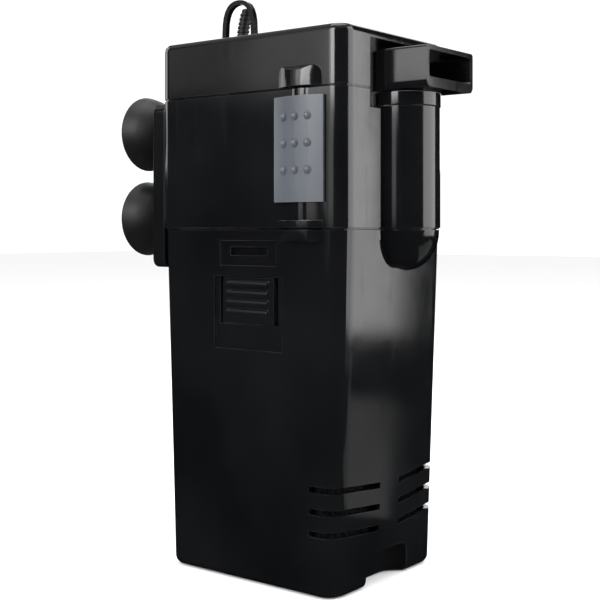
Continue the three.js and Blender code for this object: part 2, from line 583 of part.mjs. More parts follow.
// Drawn for the +X side, about its own centre line.
function makeLatch() {
  const outer = solid(prism(archOutline(LATCH.width, LATCH.rise, HALF_WIDTH + GAP, LATCH.edge), LATCH.bottom,
    LATCH.top, 4));
  const saddle = solid(prism(archOutline(CORE.width + 1.2, CORE.rise + GAP, HALF_WIDTH - 3),
    LATCH.bottom - 1, LATCH.top + 1));
  const dots = DOTS.z.flatMap((z) => [-1, 0, 1].map((column) => {
    const y = column * DOTS.pitchY;
    const radius = (LATCH.width * LATCH.width / 4 + LATCH.rise * LATCH.rise) / (2 * LATCH.rise);
    const surface = HALF_WIDTH + LATCH.edge + LATCH.rise - radius + Math.sqrt(radius * radius - y * y);
    const dot = new THREE.SphereGeometry(DOTS.radius, 8, 4);
    return solid(dot.rotateZ(Math.PI / 2).translate(surface - DOTS.radius / 2, y, z));
  }));
  const tongue = box(HALF_WIDTH - WALL - 2, HALF_WIDTH + 3, -TONGUE.halfWidth, TONGUE.halfWidth, TONGUE.bottom,
    TONGUE.top);
  const keeper = box(HALF_WIDTH - WALL - 2, HALF_WIDTH - WALL - GAP, -TONGUE.keeperHalf, TONGUE.keeperHalf,
    TONGUE.bottom, TONGUE.top);
  return join(cut(outer, saddle), dots, tongue, keeper);
}

// ---------- mounting plate and suction cups ----------

function makeMountingPlate() {
  const height = PLATE.top - PLATE.bottom;
  const slab = alongY(roundedRect(PLATE.halfWidth, height / 2, PLATE.round), PLATE.front, PLATE.back);
  const body = solid(slab.translate(0, 0, (PLATE.top + PLATE.bottom) / 2));
  const slots = [-RAIL.x, RAIL.x].flatMap((x) => railBoxes(x, 0.35, RAIL.bottom - GAP, PLATE.top + 5,
    PLATE.front - 2));
  const seats = [-CUP.x, CUP.x].flatMap((x) => CUP.z.flatMap((z) => [
    acrossPlate(CUP.knob + 0.6, PLATE.front - 1, 59.6, x, z),
    acrossPlate(CUP.neck + GAP, 59, PLATE.back + 1, x, z),
  ]));
  return cut(body, slots, seats);
}

function acrossPlate(radius, y0, y1, x, z) {
  const hole = new THREE.CylinderGeometry(radius, radius, y1 - y0, COARSE_SIDES);
  return solid(hole.translate(x, (y0 + y1) / 2, z));
}

// Turned about its own axis, which points from the plate to the glass, and starts at the plate's front face.
function makeSuctionCup() {
  const profile = CUP_PROFILE.map(([radius, along]) => new THREE.Vector2(radius, along));
  return solid(new THREE.LatheGeometry(profile, SIDES));
}

// ---------- materials ----------

function finish(color, roughness, metalness = 0) {
  return new THREE.MeshStandardMaterial({ color, roughness, metalness });
}

const BLACK_ABS = () => finish(0x101113, 0.38);
const GREY_ABS = () => finish(0x7b7f85, 0.45);
const INNER_PLASTIC = () => finish(0x23262a, 0.55);
const RUBBER = () => finish(0x0b0b0c, 0.6);
const CERAMIC = () => finish(0xd8d4c8, 0.6);
const FERRITE = () => finish(0x3a3a3c, 0.5, 0.3);
const STEEL = () => finish(0xa9abae, 0.35, 1);

// ---------- assembly ----------

function piece(name, body, material, place = [0, 0, 0]) {
  const shape = body.getMesh();
  const geometry = new THREE.BufferGeometry();
  geometry.setAttribute('position', new THREE.BufferAttribute(shape.vertProperties, 3));
  geometry.setIndex(new THREE.BufferAttribute(shape.triVerts, 1));
  geometry.computeVertexNormals();
  const mesh = new THREE.Mesh(geometry, material);
  mesh.name = name;
  mesh.position.set(...place);
  return mesh;
}

const filling = (size, corner, z) => block(...size, corner, ...z);
const canister = new THREE.Group();
canister.add(
  piece('canister', makeCanister(), BLACK_ABS()),
  piece('coarse_sponge', filling(SPONGE.coarse, SPONGE.corner, SPONGE.coarseZ), finish(0x2a2d31, 0.95)),
  piece('fine_sponge', filling(SPONGE.fine, SPONGE.corner, SPONGE.fineZ), finish(0xc9d3da, 0.95)),
  piece('media_basket', makeBasket(), INNER_PLASTIC()),
  piece('carbon_pad', filling(MEDIA.carbon, MEDIA.corner, MEDIA.carbonZ), finish(0x18191a, 0.95)),
  piece('ceramic_media', filling(MEDIA.rings, MEDIA.corner, MEDIA.ringsZ), CERAMIC()),
  piece('basket_lid', makeBasketLid(), INNER_PLASTIC()),
);

const pumpHead = new THREE.Group();
const canInX = HALF_WIDTH - CAN.inset - WALL;
const canInY = HALF_DEPTH - CAN.inset - WALL;
const gasketSize = [canInX - GASKET.inset, canInY - GASKET.inset];
const gasketHole = [canInX - GASKET.innerInset, canInY - GASKET.innerInset];
const gasket = cut(block(...gasketSize, GASKET.corner, GASKET.bottom, GASKET.top),
  block(...gasketHole, GASKET.innerCorner, GASKET.bottom - 1, GASKET.top + 1));
const collar = ring(COLLAR.radius, SPIGOT.outer + 0.5, COLLAR.bottom, COLLAR.top, 0, TUBE.y, FINE_SIDES);
pumpHead.add(
  piece('pump_housing', makePumpHousing(), BLACK_ABS()),
  piece('top_cover', makeTopCover(), BLACK_ABS()),
  piece('head_gasket', gasket, RUBBER()),
  piece('nozzle_collar', collar, BLACK_ABS()),
  piece('hanging_loop', makeLoop(), BLACK_ABS()),
  piece('cord_gland', makeGland(), RUBBER()),
  piece('stator_core', makeStatorCore(), STEEL()),
  piece('stator_coil', makeStatorCoil(), finish(0xb8753a, 0.45, 0.6)),
  piece('impeller_cover', makeImpellerCover(), BLACK_ABS()),
  piece('rotor_shaft', rod(SHAFT.radius, SHAFT.bottom, SHAFT.top, 0, PUMP_Y, COARSE_SIDES), CERAMIC()),
  piece('upper_shaft_bush', ring(BUSH.upper, BORE, ...BUSH.upperZ, 0, PUMP_Y, COARSE_SIDES), RUBBER()),
  piece('lower_shaft_bush', ring(BUSH.lower, BORE, ...BUSH.lowerZ, 0, PUMP_Y, COARSE_SIDES), RUBBER()),
);

const screw = join(rod(SCREW.head, PILLAR.seat - GAP - SCREW.headHeight, PILLAR.seat - GAP, 0, 0, 16),
  rod(SCREW.radius, PILLAR.seat - GAP - 1, SCREW.top, 0, 0, 12));
[[-1, -1], [1, -1], [-1, 1], [1, 1]].forEach(([x, y], i) => {
  pumpHead.add(piece(`cover_screw_${i + 1}`, screw, STEEL(), [x * PILLAR.x, y * PILLAR.y, 0]));
});

const rotor = new THREE.Group();
rotor.add(
  piece('rotor_magnet', ring(MAGNET.radius, BORE, MAGNET.bottom, MAGNET.top, 0, PUMP_Y), FERRITE()),
  piece('impeller', makeImpeller(), GREY_ABS()),
);

const outlet = new THREE.Group();
outlet.add(piece('outlet_nozzle', makeNozzle(), BLACK_ABS()));

const latchBody = makeLatch();
const tabBody = makeReleaseTab();
const sides = ['right', 'left'].map((side, i) => {
  const latch = new THREE.Group();
  latch.position.set(0, LATCH.y, 0);
  latch.rotation.z = i * Math.PI;
  latch.add(piece(`${side}_slide_latch`, latchBody, GREY_ABS()));
  const tab = new THREE.Group();
  tab.position.set(0, TAB.y, 0);
  tab.rotation.z = i * Math.PI;
  tab.add(piece(`${side}_release_tab`, tabBody, BLACK_ABS()));
  canister.add(tab);
  return latch;
});

const mounting = new THREE.Group();
mounting.add(piece('mounting_plate', makeMountingPlate(), BLACK_ABS()));
const cupBody = makeSuctionCup();
CUP.z.forEach((z, row) => [-CUP.x, CUP.x].forEach((x, column) => {
  mounting.add(piece(`suction_cup_${2 * row + column + 1}`, cupBody, RUBBER(), [x, PLATE.front, z]));
}));

const group = new THREE.Group();
pumpHead.add(rotor, outlet, mounting, ...sides);
group.add(canister, pumpHead);

export default group;
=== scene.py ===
"""Looks of a submersible aquarium filter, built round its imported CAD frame. Metres, +Z up, outlet at -Y."""

import json
import math
import random

import bmesh
import bpy
import numpy as np
from mathutils import Euler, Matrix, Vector
from mathutils import noise as noise_field

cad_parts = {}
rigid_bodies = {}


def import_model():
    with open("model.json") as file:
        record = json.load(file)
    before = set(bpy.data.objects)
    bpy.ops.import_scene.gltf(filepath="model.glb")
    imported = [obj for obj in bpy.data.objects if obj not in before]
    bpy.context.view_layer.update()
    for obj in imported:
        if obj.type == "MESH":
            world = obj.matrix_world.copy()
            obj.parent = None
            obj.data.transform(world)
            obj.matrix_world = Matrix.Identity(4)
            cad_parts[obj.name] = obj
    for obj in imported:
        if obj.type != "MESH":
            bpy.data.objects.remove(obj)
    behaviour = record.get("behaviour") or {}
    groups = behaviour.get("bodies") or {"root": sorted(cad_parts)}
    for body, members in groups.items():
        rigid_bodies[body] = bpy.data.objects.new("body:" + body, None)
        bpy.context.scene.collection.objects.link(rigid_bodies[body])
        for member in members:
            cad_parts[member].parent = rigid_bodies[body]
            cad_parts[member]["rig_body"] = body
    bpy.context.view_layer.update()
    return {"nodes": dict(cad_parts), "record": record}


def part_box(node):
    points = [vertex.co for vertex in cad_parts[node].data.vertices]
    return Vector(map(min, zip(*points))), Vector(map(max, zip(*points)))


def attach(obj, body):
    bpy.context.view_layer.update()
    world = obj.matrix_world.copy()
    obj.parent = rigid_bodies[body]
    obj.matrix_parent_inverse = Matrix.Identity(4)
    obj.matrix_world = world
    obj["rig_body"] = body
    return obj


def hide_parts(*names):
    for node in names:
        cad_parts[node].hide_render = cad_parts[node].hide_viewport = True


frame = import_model()

MM = 0.001
SEED = 7
BODY_OF = {node: o["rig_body"] for node, o in frame["nodes"].items()}


# ---------- materials ----------

class Nodes:
    """A small hand for building a material's node tree."""

    def __init__(self, name):
        self.material = bpy.data.materials.new(name)
        self.material.use_nodes = True
        self.tree = self.material.node_tree
        self.tree.nodes.clear()
        self.out = self.add("ShaderNodeOutputMaterial")
        self.shader = self.add("ShaderNodeBsdfPrincipled")
        self.link(self.shader.outputs["BSDF"], self.out.inputs["Surface"])
        self.place = self.add("ShaderNodeTexCoord").outputs["Object"]

    def add(self, kind, **values):
        node = self.tree.nodes.new(kind)
        for key, value in values.items():
            setattr(node, key, value)
        return node

    def link(self, source, target):
        self.tree.links.new(source, target)

    def set(self, key, value):
        if hasattr(value, "is_output"):
            self.link(value, self.shader.inputs[key])
        else:
            self.shader.inputs[key].default_value = value

    def noise(self, size, detail=4.0, rough=0.5, stretch=(1, 1, 1)):
        """Noise whose features are about size metres across, from 0 to 1."""
        mapping = self.add("ShaderNodeMapping")
        mapping.inputs["Scale"].default_value = [1 / size / s for s in stretch]
        self.link(self.place, mapping.inputs["Vector"])
        node = self.add("ShaderNodeTexNoise")
        node.inputs["Scale"].default_value = 1.0
        node.inputs["Detail"].default_value = detail
        node.inputs["Roughness"].default_value = rough
        self.link(mapping.outputs["Vector"], node.inputs["Vector"])
        return node.outputs["Fac"]

    def cells(self, size):
        """Distance to the nearest of cell centres about size metres apart."""
        mapping = self.add("ShaderNodeMapping")
        mapping.inputs["Scale"].default_value = [1 / size] * 3
        self.link(self.place, mapping.inputs["Vector"])
        node = self.add("ShaderNodeTexVoronoi")
        node.inputs["Scale"].default_value = 1.0
        self.link(mapping.outputs["Vector"], node.inputs["Vector"])
        return node.outputs["Distance"]

    def ramp(self, value, stops):
        """Maps value through (position, colour or grey) stops."""
        node = self.add("ShaderNodeValToRGB")
        elements = node.color_ramp.elements
        while len(elements) < len(stops):
            elements.new(0.5)
        for element, (position, colour) in zip(elements, stops):
            element.position = position
            rgb = colour if hasattr(colour, "__len__") else (colour,) * 3
            element.color = (*rgb, 1)
        self.link(value, node.inputs["Fac"])
        return node.outputs["Color"]

    def math(self, operation, a, b=0.0, c=0.0):
        node = self.add("ShaderNodeMath", operation=operation)
        for socket, value in zip(node.inputs, (a, b, c)):
            if hasattr(value, "is_output"):
                self.link(value, socket)
            else:
                socket.default_value = value
        return node.outputs["Value"]

    def mix(self, share, a, b):
        node = self.add("ShaderNodeMix", data_type="RGBA")
        for key, value in (("Factor", share), ("A", a), ("B", b)):
            socket = next(s for s in node.inputs if s.name == key and (s.type == "RGBA" or key == "Factor"))
            if hasattr(value, "is_output"):
                self.link(value, socket)
            else:
                socket.default_value = value if key == "Factor" else (*value, 1)
        return next(s for s in node.outputs if s.type == "RGBA")

    def edges(self, width):
        """1 along convex and concave edges, 0 on flat faces."""
        bevel = self.add("ShaderNodeBevel", samples=4)
        bevel.inputs["Radius"].default_value = width
        flat = self.add("ShaderNodeNewGeometry").outputs["Normal"]
        dot = self.add("ShaderNodeVectorMath", operation="DOT_PRODUCT")
        self.link(bevel.outputs["Normal"], dot.inputs[0])
        self.link(flat, dot.inputs[1])
        return self.math("MULTIPLY", self.math("SUBTRACT", 1.0, dot.outputs["Value"]), 6.0)

    def bump(self, *layers):
        """Stacks (height, depth in metres) layers of bump."""
        normal = None
        for height, depth in layers:
            node = self.add("ShaderNodeBump")
            node.inputs["Distance"].default_value = depth
            self.link(height, node.inputs["Height"])
            if normal is not None:
                self.link(normal, node.inputs["Normal"])
            normal = node.outputs["Normal"]
        self.link(normal, self.shader.inputs["Normal"])


def scaled(colour, factor, lift=0.0):
    return tuple(min(1, c * factor + lift) for c in colour)


def moulded(name, colour, roughness, depth=0.00003, wear=0.05):
    """Injection-moulded plastic: fine eroded grain, slight waves, handling marks and paler edges."""
    n = Nodes(name)
    cloud = n.noise(0.06, 3)
    grain = n.noise(0.00045, 2)
    smudge = n.noise(0.018, 5, 0.65)
    scuff = n.noise(0.004, 3, 0.6, (1, 1, 14))
    base = n.mix(n.ramp(cloud, [(0.35, 0.0), (0.65, 1.0)]), scaled(colour, 0.82), scaled(colour, 1.22, 0.001))
    touched = n.ramp(smudge, [(0.4, 0.15), (0.62, 1.0)])
    rim = n.math("MULTIPLY", n.math("MINIMUM", n.edges(0.0005), 1.0), touched)
    n.set("Base Color", n.mix(n.math("MULTIPLY", rim, 0.5), base, scaled(colour, 1.3, wear)))
    marks = n.math("MULTIPLY", n.ramp(scuff, [(0.58, 0.0), (0.7, 1.0)]), 0.06)
    spread = n.math("MULTIPLY_ADD", n.ramp(smudge, [(0.35, 0.0), (0.7, 1.0)]), 0.05, roughness - 0.03)
    n.set("Roughness", n.math("ADD", n.math("MULTIPLY_ADD", grain, 0.03, spread), marks))
    n.bump((cloud, 0.00006), (grain, depth))
    return n.material


def rubber(name, colour, roughness):
    """Soft moulded rubber with a cloudy, slightly paler bloom."""
    n = Nodes(name)
    bloom = n.noise(0.012, 5, 0.6)
    fine = n.noise(0.0006, 3)
    n.set("Base Color", n.mix(n.ramp(bloom, [(0.4, 0.0), (0.72, 1.0)]), colour, scaled(colour, 1.6, 0.001)))
    n.set("Roughness", n.math("MULTIPLY_ADD", bloom, 0.16, roughness - 0.08))
    n.set("Specular IOR Level", 0.35)
    n.set("Sheen Weight", 0.03)
    n.set("Sheen Roughness", 0.5)
    n.bump((n.noise(0.02, 2), 0.0002), (fine, 0.00003))
    return n.material


def foam(name, colour, pore):
    """Open-cell foam: pores about pore metres across, darkened with painted shade, between paler struts."""
    n = Nodes(name)
    pores = n.cells(pore)
    strut_height_and_pore_shade = n.ramp(pores, [(0.2, 0.0), (0.62, 1.0)])
    # Painted shade: inside the pores the colour drops to 0.16 of the foam's colour, standing in for the shade
    # in them; the same mask gives the bump's height.
    n.set("Base Color", n.mix(strut_height_and_pore_shade, scaled(colour, 0.16), colour))
    n.set("Roughness", 0.95)
    n.set("Specular IOR Level", 0.2)
    n.bump((strut_height_and_pore_shade, pore * 0.5), (n.noise(pore * 0.4, 2), pore * 0.12))
    return n.material


def ceramic(name, colour):
    """Fired ceramic with brown specks and stains."""
    n = Nodes(name)
    speck = n.noise(0.0009, 4, 0.7)
    stain = n.noise(0.02, 3)
    base = n.mix(n.ramp(stain, [(0.35, 0.0), (0.7, 1.0)]), colour, scaled(colour, 0.72))
    n.set("Base Color", n.mix(n.ramp(speck, [(0.62, 0.0), (0.7, 0.6)]), base, (0.2, 0.16, 0.12)))
    n.set("Roughness", n.math("MULTIPLY_ADD", speck, 0.2, 0.5))
    n.bump((speck, 0.0001))
    return n.material


def metal(name, colour, roughness, layers=0.0):
    """Bare metal with fine streaks. With layers, stacked laminations that many metres thick."""
    n = Nodes(name)
    lines = n.noise(0.0007, 3, 0.6, (1, 1, 12))
    stain = n.noise(0.01, 4)
    n.set("Base Color", n.mix(n.ramp(stain, [(0.35, 0.0), (0.75, 1.0)]), colour, scaled(colour, 0.6)))
    n.set("Metallic", 1.0)
    n.set("Roughness", n.math("MULTIPLY_ADD", lines, 0.25, roughness - 0.1))
    heights = [(lines, 0.00003)]
    if layers:
        split = n.add("ShaderNodeSeparateXYZ")
        n.link(n.place, split.inputs[0])
        heights.append((n.math("PINGPONG", split.outputs["Z"], layers / 2), 0.6))
    n.bump(*heights)
    return n.material


def winding(name, colour, wire):
    """Enamelled wire, wire metres thick, laid side by side round the coil."""
    n = Nodes(name)
    split = n.add("ShaderNodeSeparateXYZ")
    n.link(n.place, split.inputs[0])
    wander = n.math("MULTIPLY", n.noise(0.02, 1), wire)
    turns = n.math("PINGPONG", n.math("ADD", split.outputs["X"], wander), wire / 2)
    n.set("Base Color", n.mix(n.noise(0.004, 3), colour, scaled(colour, 0.55)))
    n.set("Metallic", 0.7)
    n.set("Roughness", 0.32)
    n.bump((turns, 1.0))
    return n.material


BLACK = (0.0027, 0.0029, 0.0033)
MATERIALS = {
    "black_abs": moulded("black_abs", BLACK, 0.10, depth=0.000008),
    "grey_abs": moulded("grey_abs", (0.046, 0.052, 0.062), 0.34, wear=0.12),
    "inner_plastic": moulded("inner_plastic", (0.012, 0.013, 0.015), 0.5),
    "black_rubber": rubber("black_rubber", (0.0025, 0.0025, 0.003), 0.5),
    "coarse_foam": foam("coarse_foam", (0.007, 0.0075, 0.0085), 0.0016),
    "fine_foam": foam("fine_foam", (0.5, 0.58, 0.64), 0.0009),
    "carbon": foam("carbon", (0.02, 0.02, 0.022), 0.0012),
    "ceramic": ceramic("ceramic", (0.62, 0.58, 0.50)),
    "steel": metal("steel", (0.35, 0.36, 0.37), 0.45, layers=0.0005),
    "screw_steel": metal("screw_steel", (0.6, 0.61, 0.62), 0.3),
    "copper": winding("copper", (0.55, 0.24, 0.10), 0.0004),
    "ferrite": ceramic("ferrite", (0.06, 0.06, 0.065)),
}
SLOT_OF = {row["node"]: row["material_slot"] for row in frame["record"]["subparts"]}


# ---------- pieces from CAD nodes ----------

WELD_DISTANCE = 0.002 * MM
FLAT_ANGLE = 0.6
ROUNDED_ANGLE = 32
SHARP_ANGLE = 40
TUBE_Y = -60 * MM
TUBE_REACH = 15.6 * MM
TUBE_CUT_Y = -55.65 * MM
FOOT_BACK_Y = -55.2 * MM
FOOT_LOW_Z = 137 * MM


def finish_piece(piece, node):
    """Gives a piece its node's material, slot and body, and hides the node."""
    slot = SLOT_OF[node]
    piece.data.materials.clear()
    piece.data.materials.append(MATERIALS[slot])
    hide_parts(node)
    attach(piece, BODY_OF[node])


def new_piece(name, mesh):
    piece = bpy.data.objects.new(name, mesh)
    bpy.context.scene.collection.objects.link(piece)
    return piece


def apply_modifiers(piece):
    graph = bpy.context.evaluated_depsgraph_get()
    mesh = bpy.data.meshes.new_from_object(piece.evaluated_get(graph))
    piece.modifiers.clear()
    piece.data = mesh


def smooth_by_angle(mesh, degrees):
    """Smooth faces, with sharp edges where two faces meet at more than the angle."""
    bm = bmesh.new()
    bm.from_mesh(mesh)
    for face in bm.faces:
        face.smooth = True
    for edge in bm.edges:
        edge.smooth = len(edge.link_faces) == 2 and edge.calc_face_angle(0) < math.radians(degrees)
    bm.to_mesh(mesh)
    bm.free()


def weigh_normals(piece):
    """Flat faces stay flat right up to their rounded edges."""
    weighted = piece.modifiers.new("normals", "WEIGHTED_NORMAL")
    weighted.keep_sharp = True
    weighted.weight = 100
    weighted.mode = "FACE_AREA"


def refined(node, width, segments):
    """A copy of a CAD node with its edges rounded, width in millimetres.

    Its facets merge unless it is in UNMERGED.
    """
    bm = bmesh.new()
    bm.from_mesh(frame["nodes"][node].data)
    bmesh.ops.remove_doubles(bm, verts=bm.verts, dist=WELD_DISTANCE)
    if node not in UNMERGED:
        bmesh.ops.dissolve_limit(bm, angle_limit=math.radians(FLAT_ANGLE), verts=bm.verts, edges=bm.edges)
    mesh = bpy.data.meshes.new(node)
    mesh.from_pydata([v.co for v in bm.verts], [], [[v.index for v in face.verts] for face in bm.faces])
    bm.free()
    piece = new_piece(node + "_fine", mesh)
    bevel = piece.modifiers.new("edges", "BEVEL")
    bevel.width = width * MM
    bevel.segments = segments
    bevel.limit_method = "ANGLE"
    bevel.angle_limit = math.radians(ROUNDED_ANGLE)
    bevel.use_clamp_overlap = True
    bevel.miter_outer = "MITER_ARC"
    apply_modifiers(piece)
    smooth_by_angle(piece.data, SHARP_ANGLE)
    weigh_normals(piece)
    return piece


def near_tube(point):
    return math.hypot(point.x, point.y - TUBE_Y) < TUBE_REACH


def in_tube(point):
    """Whether a point is on the discharge tube, which stands in front of the pump housing."""
    return point.y < TUBE_CUT_Y and near_tube(point)


def in_foot(point):
    """Whether a point is on the foot under the discharge tube."""
    return point.y < FOOT_BACK_Y and point.z > FOOT_LOW_Z and near_tube(point)


def keep_faces(mesh, wanted, cut_y):
    """Keeps the wanted faces and closes the mesh where the others were. With cut_y, cuts there first."""
    bm = bmesh.new()
    bm.from_mesh(mesh)
    if cut_y is not None:
        everything = [*bm.verts, *bm.edges, *bm.faces]
        bmesh.ops.bisect_plane(bm, geom=everything, plane_co=(0, cut_y, 0), plane_no=(0, 1, 0))
    unwanted = [face for face in bm.faces if not wanted(face.calc_center_median())]
    bmesh.ops.delete(bm, geom=unwanted, context="FACES")
    rim = [edge for edge in bm.edges if edge.is_boundary]
    bmesh.ops.holes_fill(bm, edges=rim, sides=0)
    bmesh.ops.recalc_face_normals(bm, faces=bm.faces)
    for edge in rim:
        edge.smooth = False
    bm.to_mesh(mesh)
    bm.free()


def split_off(node, name, wanted, cut_y=None):
    """Parts a front fitting from its node's copy, so that the flat front behind it doesn't mirror it."""
    whole = bpy.data.objects[node + "_fine"]
    part = new_piece(name, whole.data.copy())
    keep_faces(part.data, wanted, cut_y)
    keep_faces(whole.data, lambda point: not wanted(point), cut_y)
    weigh_normals(part)
    part.visible_glossy = False
    finish_piece(part, node)


# ---------- pieces made afresh ----------

def mesh_of(name, vertices, faces, degrees):
    """A mesh that is smooth up to the angle, with its faces turned outward."""
    mesh = bpy.data.meshes.new(name)
    mesh.from_pydata([tuple(v) for v in vertices], [], faces)
    mesh.validate()
    bm = bmesh.new()
    bm.from_mesh(mesh)
    bmesh.ops.recalc_face_normals(bm, faces=bm.faces)
    bm.to_mesh(mesh)
    bm.free()
    smooth_by_angle(mesh, degrees)
    return mesh


def smooth_curve(points, steps):
    """A Catmull-Rom curve through the points, which are (radius, along)."""
    ends = [points[0], *points, points[-1]]
    curve = []
    for before, start, stop, after in zip(ends, ends[1:], ends[2:], ends[3:]):
        for i in range(steps):
            t = i / steps
            curve.append(tuple(
                0.5 * (2 * b + (c - a) * t + (2 * a - 5 * b + 4 * c - d) * t * t
                       + (3 * b - a - 3 * c + d) * t ** 3)
                for a, b, c, d in zip(before, start, stop, after)))
    curve.append(points[-1])
    return curve


def turned(profile, segments, place):
    """Vertices and faces of a profile turned about its own axis. place maps (x, y, along) to the frame."""
    vertices = []
    rings = []
    for radius, along in profile:
        if radius == 0:
            rings.append([len(vertices)])
            vertices.append(place(0, 0, along))
            continue
        rings.append(list(range(len(vertices), len(vertices) + segments)))
        for i in range(segments):
            angle = 2 * math.pi * i / segments
            vertices.append(place(radius * math.cos(angle), radius * math.sin(angle), along))
    faces = []
    for low, high in zip(rings, rings[1:]):
        for i in range(segments):
            j = (i + 1) % segments
            corners = [low[i % len(low)], low[j % len(low)], high[j % len(high)], high[i % len(high)]]
            corners = list(dict.fromkeys(corners))
            if len(corners) > 2:
                faces.append(corners)
    return vertices, faces


# Profiles are (radius, along the axis) in millimetres.
CUP_KNOB_END = [(0, 0.4), (3.4, 0.4)]
CUP_OUTER = [(5.2, 0.4), (5.7, 1.6), (5.1, 3.2), (3.8, 3.6), (3.8, 7.6), (4.6, 8.3), (7.0, 8.9),
             (10.0, 10.2), (12.4, 12.2), (14.5, 14.6), (16.3, 17.4), (17.6, 20.6), (18.4, 23.2),
             (18.65, 24.2)]
CUP_LIP = [(18.7, 24.5), (18.55, 24.68), (17.9, 24.7), (17.5, 24.5)]
CUP_INNER = [(17.2, 23.6), (16.5, 21.6), (15.2, 19.4), (12.9, 17.0), (9.8, 15.0), (6.0, 13.7),
             (2.6, 13.25), (0, 13.2)]


def make_cup(node, x, z):
    """A suction cup with its knob, at x and z on the mounting plate."""
    profile = [*CUP_KNOB_END, *smooth_curve(CUP_OUTER, steps=3), *smooth_curve(CUP_LIP + CUP_INNER, steps=3)]

    def place(a, b, along):
        return Vector(((x + a) * MM, (CUP_FACE + along) * MM, (z + b) * MM))

    mesh = mesh_of(node, *turned(profile, segments=72, place=place), degrees=50)
    return new_piece(node + "_fine", mesh)


GLAND_BASE = Vector((5.6, 43, 250.3))
GLAND_FLANGE = [(0, 0.0), (4.5, 0.0), (4.5, 1.2), (4.1, 1.8), (3.1, 1.9)]
GLAND_FLANGE_TOP = 1.85
GLAND_FLANGE_SHIFT = 1.6
GLAND_RIB = [(3.1, 0.0), (3.1, 1.15), (2.6, 1.3), (2.6, 1.95)]
GLAND_RIB_PITCH = 2.1
GLAND_FIRST_RIB = 2.4
GLAND_LAST_RIB = 20.6
GLAND_NECK_RADIUS = 2.8
GLAND_TIP = [(2.65, 22.4), (2.1, 22.6), (1.9, 22.3), (1.9, 18.5), (0, 18.5)]
GLAND_BEND_START = 8
GLAND_BEND_LENGTH = 14.7
GLAND_LEAN = 3.4


def make_gland():
    """A ribbed strain relief that bends forward at its tip, with the empty cord hole in its end."""
    profile = list(GLAND_FLANGE)
    along = GLAND_FIRST_RIB
    while along < GLAND_LAST_RIB:
        profile += [(radius, along + step) for radius, step in GLAND_RIB]
        along += GLAND_RIB_PITCH
    profile += [(GLAND_NECK_RADIUS, along), *GLAND_TIP]

    def place(a, b, height):
        share = max(0.0, height - GLAND_BEND_START) / GLAND_BEND_LENGTH
        offset = GLAND_FLANGE_SHIFT if height < GLAND_FLANGE_TOP else 0.0
        return (GLAND_BASE + Vector((a + offset, b - GLAND_LEAN * share ** 1.5, height))) * MM

    mesh = mesh_of("cord_gland", *turned(profile, segments=36, place=place), degrees=32)
    return new_piece("cord_gland_fine", mesh)


def make_dots(side):
    """The nine grip dots of one latch plate."""
    sign = 1 if side == "right" else -1
    radius = (LATCH_WIDTH ** 2 / 4 + LATCH_RISE ** 2) / (2 * LATCH_RISE)
    vertices, faces = [], []
    for z in DOT_ROWS:
        for column in (-1, 0, 1):
            y = column * DOT_PITCH
            surface = LATCH_BASE + LATCH_RISE - radius + math.sqrt(radius * radius - y * y)
            angles = np.linspace(0, math.pi / 2, 8)
            dome = [(DOT_RADIUS * math.cos(a), DOT_RISE * math.sin(a)) for a in angles]
            dome[-1] = (0, dome[-1][1])

            def place(a, b, along):
                lift = surface - DOT_SINK + along
                return Vector((sign * lift, LATCH_Y + sign * (y + a), z + b)) * MM

            profile = [(0, -DOT_ROOT), (DOT_RADIUS, -DOT_ROOT), *dome]
            new_vertices, new_faces = turned(profile, segments=24, place=place)
            faces += [[i + len(vertices) for i in face] for face in new_faces]
            vertices += new_vertices
    return new_piece(side + "_latch_dots", mesh_of(side + "_latch_dots", vertices, faces, degrees=60))


FOAM_SLACK = 0.25 * MM
FOAM_CORNER = 5.5 * MM
FOAM_RIM = 0.9 * MM
FOAM_CELL = 1.6 * MM
FOAM_PIT = 2.2 * MM
FOAM_SWELL = 9 * MM
FOAM_TEAR = 0.5 * MM


def make_foam(node):
    """A foam block: soft edges, slightly bowed faces and a torn, open-cell surface."""
    low, high = (Vector(corner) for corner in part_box(node))
    middle = (low + high) / 2
    half = (high - low) / 2 - Vector((FOAM_SLACK, FOAM_SLACK, FOAM_SLACK))
    bm = bmesh.new()
    bmesh.ops.create_cube(bm, size=2)
    for vertex in bm.verts:
        vertex.co = Vector(vertex.co[i] * half[i] for i in range(3))
    upright = [e for e in bm.edges if abs(e.verts[0].co.z - e.verts[1].co.z) > half.z]
    bmesh.ops.bevel(bm, geom=upright, offset=FOAM_CORNER, segments=4, profile=0.5, affect="EDGES")
    rims = [e for e in bm.edges if abs(e.verts[0].co.z - e.verts[1].co.z) < 1e-6]
    bmesh.ops.bevel(bm, geom=rims, offset=FOAM_RIM, segments=2, profile=0.5, affect="EDGES")
    mesh = bpy.data.meshes.new(node + "_foam")
    bm.to_mesh(mesh)
    bm.free()
    piece = new_piece(node + "_foam", mesh)
    remesh = piece.modifiers.new("cells", "REMESH")
    remesh.mode = "VOXEL"
    remesh.voxel_size = FOAM_CELL
    apply_modifiers(piece)
    bm = bmesh.new()
    bm.from_mesh(piece.data)
    bm.normal_update()
    for vertex in bm.verts:
        rough = noise_field.noise(vertex.co / FOAM_PIT) + 0.5 * noise_field.noise(vertex.co / FOAM_SWELL)
        vertex.co -= vertex.normal * FOAM_TEAR * max(0.0, min(1.0, 0.5 + rough))
    for vertex in bm.verts:
        vertex.co += middle
    for face in bm.faces:
        face.smooth = True
    bm.to_mesh(piece.data)
    bm.free()
    return piece


RING_RADIUS = 4.6 * MM
RING_BORE = 2.5 * MM
RING_LENGTH = 9.4 * MM
RING_COUNTS = (7, 9, 4)
RING_JITTER = 0.12


